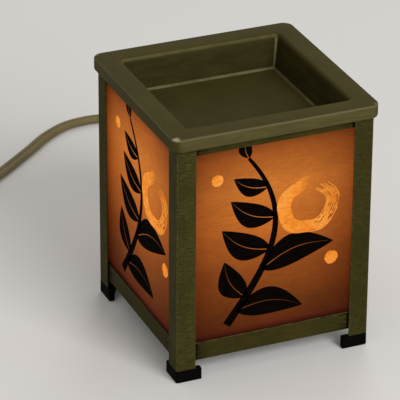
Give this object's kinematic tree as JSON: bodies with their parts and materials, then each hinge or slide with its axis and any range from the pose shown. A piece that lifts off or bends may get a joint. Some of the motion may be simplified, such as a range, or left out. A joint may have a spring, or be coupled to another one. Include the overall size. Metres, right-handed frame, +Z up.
{
  "type": "lantern fragrance warmer",
  "caption": "Square table lantern with lit panes on a metal frame, a lift-off wax dish over a small bulb, and a flat lead with inline switch and plug.",
  "frame": {"origin": "on the table, under the middle of the lantern's square frame", "axes": "+Z up, the front towards -Y, the lead leaves the back towards +Y"},
  "size_m": [0.2345, 0.3506, 0.1485],
  "materials": {
    "frame_olive": "satin olive paint, finely brushed",
    "dish_olive": "smooth satin olive glaze",
    "foot_black": "matt",
    "pane_amber": "frosted amber print, lit from behind",
    "tray_steel": "plain sheet",
    "zinc": "zinc plated",
    "holder_black": "moulded phenolic",
    "brass_metal": "bright",
    "bulb_glass": "frosted inside",
    "tungsten": "drawn wire",
    "lead_ivory": "soft vinyl, satin",
    "wire_black": "insulation",
    "wire_white": "insulation"
  },
  "bodies": {
    "lantern": {"post_front_left": "frame_olive", "post_front_right": "frame_olive", "post_back_right": "frame_olive", "post_back_left": "frame_olive", "rail_bottom_front": "frame_olive", "rail_bottom_right": "frame_olive", "rail_bottom_back": "frame_olive", "rail_bottom_left": "frame_olive", "rail_top_front": "frame_olive", "rail_top_right": "frame_olive", "rail_top_back": "frame_olive", "rail_top_left": "frame_olive", "foot_front_left": "foot_black", "foot_front_right": "foot_black", "foot_back_right": "foot_black", "foot_back_left": "foot_black", "pane_front": "pane_amber", "pane_right": "pane_amber", "pane_back": "pane_amber", "pane_left": "pane_amber", "base_tray": "tray_steel", "holder_bracket": "tray_steel", "tray_screw_front_left": "zinc", "tray_screw_front_right": "zinc", "tray_screw_back_left": "zinc", "tray_screw_back_right": "zinc", "bracket_screw_left": "zinc", "bracket_screw_right": "zinc", "holder_nut": "zinc", "switch_screw": "zinc", "lampholder_body": "holder_black", "screw_shell": "brass_metal", "centre_contact": "brass_metal", "terminal_screw_left": "brass_metal", "terminal_screw_right": "brass_metal", "plug_blade_wide": "brass_metal", "plug_blade_narrow": "brass_metal", "lead_to_switch": "lead_ivory", "lead_to_coil": "lead_ivory", "lead_coil": "lead_ivory", "lead_tail": "lead_ivory", "lead_boot": "lead_ivory", "switch_lower": "lead_ivory", "switch_upper": "lead_ivory", "plug_body": "lead_ivory", "wire_left": "wire_black", "wire_right": "wire_white"},
    "dish": {"dish": "dish_olive"},
    "bulb": {"bulb_glass": "bulb_glass", "bulb_cap": "brass_metal", "bulb_insulator": "holder_black", "bulb_tip": "brass_metal", "bulb_mount": "bulb_glass", "bulb_filament": "tungsten"},
    "switch_wheel": {"switch_wheel": "holder_black"}
  },
  "joints": [
    {"name": "dish_lift", "type": "slide", "parent": "lantern", "child": "dish", "axis": [0, 0, 1], "range_m": [0, 0.045]},
    {"name": "bulb_unscrew", "type": "slide", "parent": "lantern", "child": "bulb", "axis": [0, 0, 1], "range_m": [0, 0.022]},
    {"name": "switch_turn", "type": "hinge", "parent": "lantern", "child": "switch_wheel", "pos_m": [0.02873, 0.15856, 0.01], "axis": [0.8995, -0.4369, 0], "continuous": true}
  ]
}
